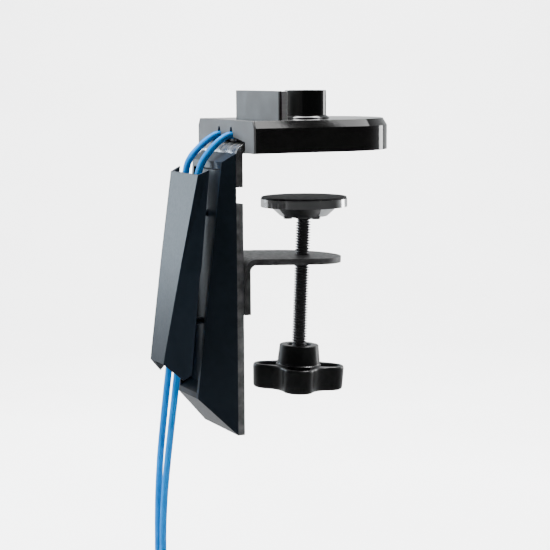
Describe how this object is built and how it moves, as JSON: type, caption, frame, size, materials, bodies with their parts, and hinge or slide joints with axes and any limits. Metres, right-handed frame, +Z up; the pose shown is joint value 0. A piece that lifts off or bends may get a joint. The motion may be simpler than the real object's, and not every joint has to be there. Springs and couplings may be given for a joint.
{
  "type": "desk-edge clamp base",
  "caption": "Desk-edge clamp base for a monitor arm: glossy D-shaped foot, steel hook and back plate, screw jaw with swivel dish, lobed knob and a two-part cable cover.",
  "frame": {"origin": "middle of the desk edge, on the desk top, where the base's rear panel stands", "axes": "+X onto the desk towards the rounded nose, +Y along the desk edge, +Z up"},
  "size_m": [0.2288, 0.116, 0.536],
  "materials": {
    "gloss_black": "polished, thin reflections",
    "panel_grey": "satin painted metal look",
    "rubber_black": "matte",
    "zinc": "bright zinc",
    "powder_grey": "fine powder coat",
    "bracket_grey": "dark satin powder coat",
    "column_grey": "satin",
    "rail_alu": "satin anodised",
    "steel": "plain",
    "black_steel": "black oxide",
    "post_black": "gloss",
    "cover_dark": "satin, slightly blue",
    "knob_black": "moulded",
    "brass": "turned",
    "liner_white": "moulded",
    "lead_blue": "soft sheath",
    "plug_clear": "clear moulding",
    "tie_black": "woven strap"
  },
  "bodies": {
    "frame": {"base_cover": "gloss_black", "rear_panel": "panel_grey", "port_glands": "rubber_black", "hook_plate": "zinc", "desk_pad": "rubber_black", "base_screws": "steel", "column_face": "column_grey", "column_seal": "rubber_black", "column_rail": "rail_alu", "column_foot": "steel", "column_bolts": "black_steel", "post": "post_black", "post_collar": "gloss_black", "post_plug": "steel", "post_bolt": "black_steel", "link_strap": "zinc", "strap_bolts": "black_steel", "back_plate": "powder_grey", "jaw_bracket": "bracket_grey", "jaw_bolts": "black_steel", "cover_inner": "cover_dark", "cover_screws": "black_steel", "lead_near": "lead_blue", "lead_far": "lead_blue", "hank_near": "lead_blue", "hank_far": "lead_blue", "hank_ties": "tie_black", "plug_near": "plug_clear", "plug_far": "plug_clear"},
    "thrust": {"thrust_washer": "steel"},
    "screw": {"clamp_screw": "black_steel", "knob": "knob_black", "knob_insert": "brass", "knob_cap": "knob_black"},
    "liner": {"ball_liner": "liner_white"},
    "pad": {"pad_dish": "steel", "pad_face": "rubber_black"},
    "cable_cover": {"cover_outer": "cover_dark"}
  },
  "joints": [
    {"name": "jaw_travel", "type": "slide", "parent": "frame", "child": "thrust", "axis": [0.0436, 0, 0.999], "range_m": [-0.0253, 0.0299]},
    {"name": "screw_turn", "type": "hinge", "parent": "thrust", "child": "screw", "pos_m": [0.07264, 0, -0.05049], "axis": [0.0436, 0, 0.999], "range_deg": [-3965, 4685]},
    {"name": "pad_pitch", "type": "hinge", "parent": "thrust", "child": "liner", "pos_m": [0.07264, 0, -0.05049], "axis": [0, 1, 0], "range_deg": [-5, 5]},
    {"name": "pad_roll", "type": "hinge", "parent": "liner", "child": "pad", "pos_m": [0.07264, 0, -0.05049], "axis": [1, 0, 0], "range_deg": [-5, 5]},
    {"name": "cover_pull", "type": "slide", "parent": "frame", "child": "cable_cover", "axis": [-1, 0, 0], "range_m": [0, 0.075]}
  ],
  "couplings": [
    {"joint": "screw_turn", "follows": "jaw_travel", "rad_per_m": 2731.8}
  ]
}
